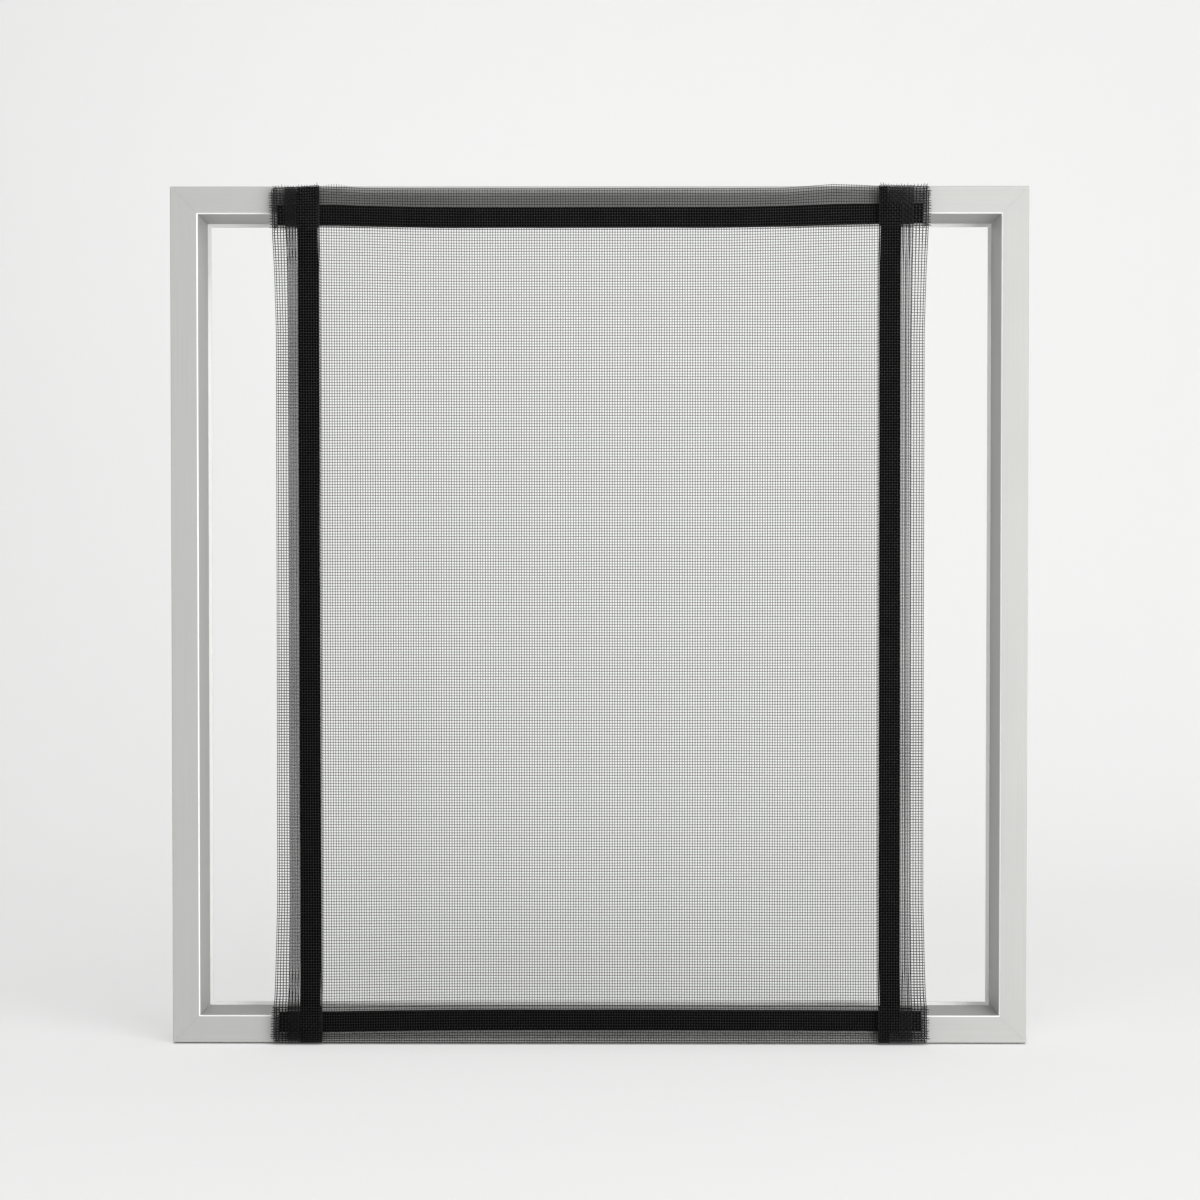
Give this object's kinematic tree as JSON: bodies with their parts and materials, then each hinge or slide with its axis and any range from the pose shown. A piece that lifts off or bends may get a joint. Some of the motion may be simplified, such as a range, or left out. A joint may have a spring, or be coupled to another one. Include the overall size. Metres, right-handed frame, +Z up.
{
  "type": "window insect screen",
  "caption": "Insect screen of black coated mesh with magnetic strips in its hems, held across the front of a square mitred aluminium frame.",
  "frame": {"origin": "middle of the frame's underside", "axes": "+X to the right seen from the front, +Y from the front to the back, +Z up"},
  "size_m": [0.5, 0.0454, 0.5],
  "materials": {
    "anodised_aluminium": "satin anodised, extruded",
    "cast_key": "as cast",
    "steel_tape": "plain rolled",
    "coated_mesh": "woven glass fibre with a black PVC coating",
    "magnetic_rubber": "matt black flexible magnet"
  },
  "bodies": {
    "root": {"bottom_rail": "anodised_aluminium", "top_rail": "anodised_aluminium", "left_stile": "anodised_aluminium", "right_stile": "anodised_aluminium", "bottom_left_key": "cast_key", "bottom_right_key": "cast_key", "top_left_key": "cast_key", "top_right_key": "cast_key", "bottom_steel_tape": "steel_tape", "top_steel_tape": "steel_tape", "mesh_sheet": "coated_mesh", "bottom_magnet_strip": "magnetic_rubber", "top_magnet_strip": "magnetic_rubber", "left_magnet_strip": "magnetic_rubber", "right_magnet_strip": "magnetic_rubber"}
  },
  "joints": []
}
